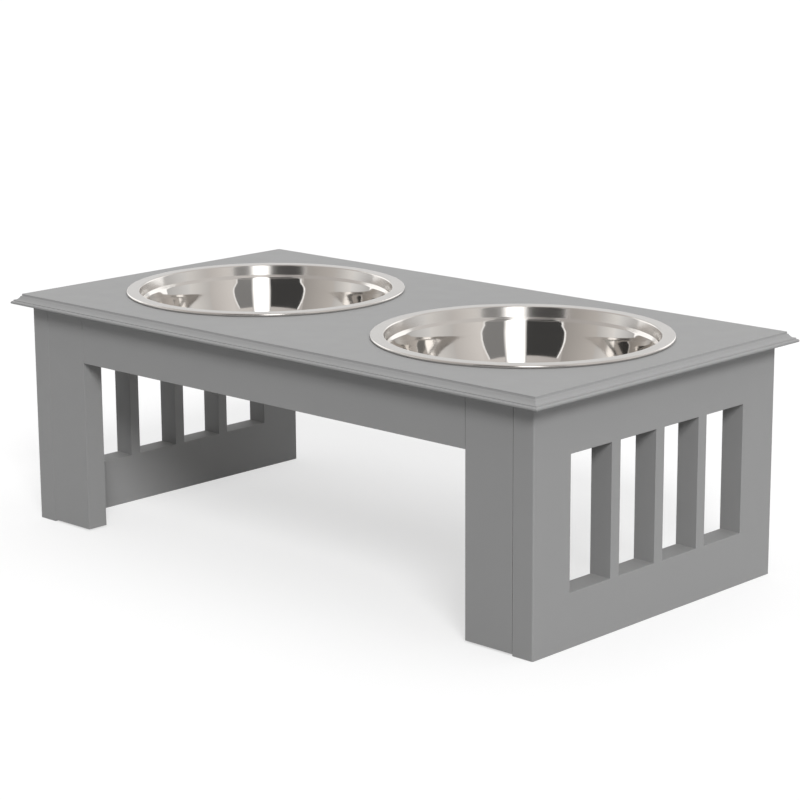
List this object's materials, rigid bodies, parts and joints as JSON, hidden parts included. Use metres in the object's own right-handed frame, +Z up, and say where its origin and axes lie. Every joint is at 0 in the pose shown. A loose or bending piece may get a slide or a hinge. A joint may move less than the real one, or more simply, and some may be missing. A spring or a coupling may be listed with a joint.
{
  "type": "raised pet feeding station",
  "caption": "Low raised feeding station: moulded board on slotted end panels and front legs, with lift-out round steel bowls hanging in its holes.",
  "frame": {"origin": "on the floor, under the middle of the board", "axes": "+X along the board to the right as seen from the front, +Y towards the back, +Z up"},
  "size_m": [0.44, 0.237, 0.1498],
  "materials": {
    "painted_board": "fibreboard sprayed with satin grey paint",
    "bowl_steel": "pressed stainless sheet, polished",
    "dowel_wood": "turned beech, bare",
    "screw_steel": "zinc plated"
  },
  "bodies": {
    "station": {"top_board": "painted_board", "front_apron": "painted_board", "back_rail": "painted_board", "left_end_panel": "painted_board", "left_front_leg": "painted_board", "front_left_corner_block": "painted_board", "back_left_corner_block": "painted_board", "right_end_panel": "painted_board", "right_front_leg": "painted_board", "front_right_corner_block": "painted_board", "back_right_corner_block": "painted_board", "left_leg_dowels": "dowel_wood", "left_apron_dowels": "dowel_wood", "left_rail_dowels": "dowel_wood", "right_leg_dowels": "dowel_wood", "right_apron_dowels": "dowel_wood", "right_rail_dowels": "dowel_wood", "block_screws": "screw_steel", "top_screws": "screw_steel"},
    "left_bowl": {"left_bowl": "bowl_steel"},
    "right_bowl": {"right_bowl": "bowl_steel"}
  },
  "joints": [
    {"name": "left_bowl_lift", "type": "slide", "parent": "station", "child": "left_bowl", "axis": [0, 0, 1], "range_m": [0, 0.08]},
    {"name": "right_bowl_lift", "type": "slide", "parent": "station", "child": "right_bowl", "axis": [0, 0, 1], "range_m": [0, 0.08]}
  ]
}
